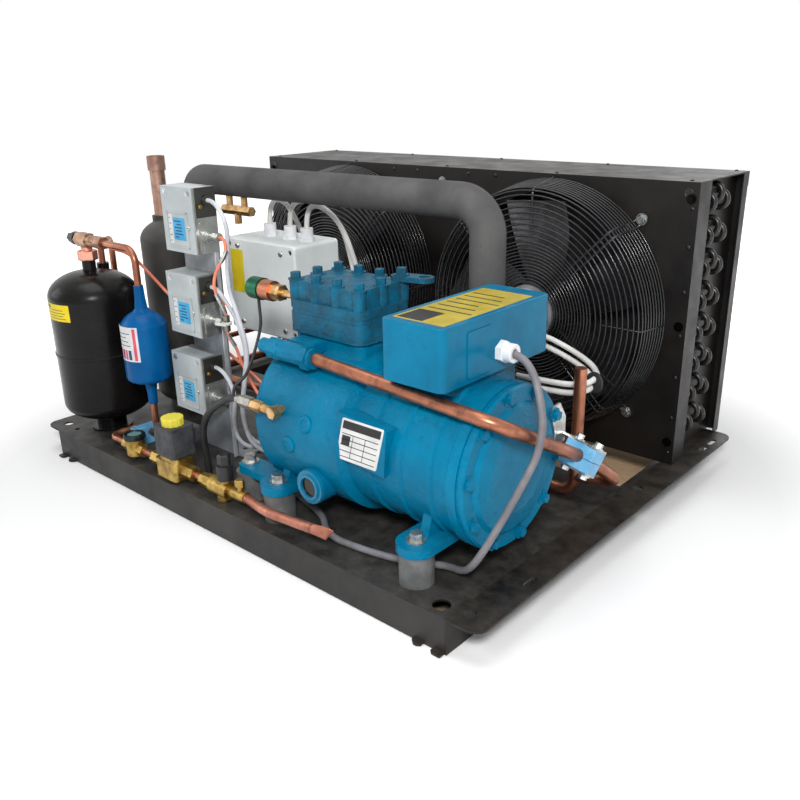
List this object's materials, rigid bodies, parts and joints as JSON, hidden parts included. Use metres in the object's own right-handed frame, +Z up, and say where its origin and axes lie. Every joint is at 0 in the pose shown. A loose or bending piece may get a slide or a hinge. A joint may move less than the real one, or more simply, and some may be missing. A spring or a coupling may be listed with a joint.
{
  "type": "refrigeration condensing unit",
  "caption": "Air-cooled condensing unit: semi-hermetic compressor, receiver, filter drier, valves and controls on a sheet-metal base before a twin-fan condenser.",
  "frame": {"origin": "middle of the footprint, on the floor", "axes": "+X along the unit to the compressor's motor end, +Y from the front skirt to the condenser, +Z up"},
  "size_m": [1.04, 0.789, 0.538],
  "materials": {
    "dark_sheet": "satin",
    "black_casing": "satin",
    "fins": "satin",
    "copper": "satin",
    "guard_wire": "gloss",
    "motor_grey": "satin",
    "black_blades": "satin",
    "zinc": "satin",
    "vessel_black": "gloss",
    "brass": "satin",
    "black_cap": "matt",
    "drier_blue": "gloss",
    "clamp_blue": "satin",
    "ring_dark": "satin",
    "window_glass": "polished",
    "steel_inner": "satin",
    "teal_casting": "gloss",
    "spacer_grey": "matt",
    "aluminium_inner": "satin",
    "teal_sheet": "gloss",
    "gland_white": "satin",
    "foam": "matt",
    "cover_grey": "satin",
    "cable_grey": "matt",
    "cable_white": "matt"
  },
  "bodies": {
    "unit": {"access_fittings": "brass", "accumulator": "vessel_black", "bearing_cover": "teal_casting", "cable_glands": "gland_white", "clamp_plates": "zinc", "compressor_bolts": "teal_casting", "compressor_housing": "teal_casting", "condenser_top_cover": "black_casing", "connecting_rods": "aluminium_inner", "control_box": "cover_grey", "control_lid": "cover_grey", "cylinder_head": "teal_casting", "deck_tray": "dark_sheet", "discharge_valve": "teal_casting", "end_plates": "black_casing", "fan_cables": "cable_white", "fan_guards": "guard_wire", "fan_motors": "motor_grey", "fan_shroud": "black_casing", "filter_drier": "drier_blue", "fin_pack": "fins", "glass_rings": "ring_dark", "hot_gas_line": "copper", "instrument_stands": "zinc", "lifting_eye": "teal_casting", "liquid_pipes": "copper", "liquid_stub": "copper", "motor_cable": "cable_grey", "motor_end_cover": "teal_casting", "mount_bolts": "zinc", "mount_spacers": "spacer_grey", "pipe_clamps": "clamp_blue", "pistons": "aluminium_inner", "receiver_shell": "vessel_black", "receiver_valve": "brass", "return_bends": "copper", "riser_pipe": "copper", "service_valve": "brass", "side_rails": "dark_sheet", "sight_glass_body": "brass", "sight_windows": "window_glass", "small_bolts": "zinc", "solenoid_body": "brass", "solenoid_coil": "black_cap", "solenoid_plunger": "steel_inner", "stator": "steel_inner", "suction_insulation": "foam", "suction_pipe": "copper", "suction_stub": "copper", "suction_valve": "teal_casting", "switch_chassis": "zinc", "switch_covers": "cover_grey", "switch_lines": "cable_white", "terminal_box": "teal_sheet", "terminal_lid": "teal_sheet", "valve_caps": "black_cap", "valve_plate": "steel_inner"},
    "fan_left": {"fan_rotor_left": "black_blades"},
    "fan_right": {"fan_rotor_right": "black_blades"},
    "shaft": {"crankshaft": "steel_inner"}
  },
  "joints": [
    {"name": "fan_left_spin", "type": "hinge", "parent": "unit", "child": "fan_left", "pos_m": [-0.24, 0.1655, 0.288], "axis": [0, 1, 0], "continuous": true},
    {"name": "fan_right_spin", "type": "hinge", "parent": "unit", "child": "fan_right", "pos_m": [0.24, 0.1655, 0.288], "axis": [0, 1, 0], "continuous": true},
    {"name": "crankshaft_spin", "type": "hinge", "parent": "unit", "child": "shaft", "pos_m": [0.24, -0.2245, 0.19], "axis": [1, 0, 0], "continuous": true}
  ]
}
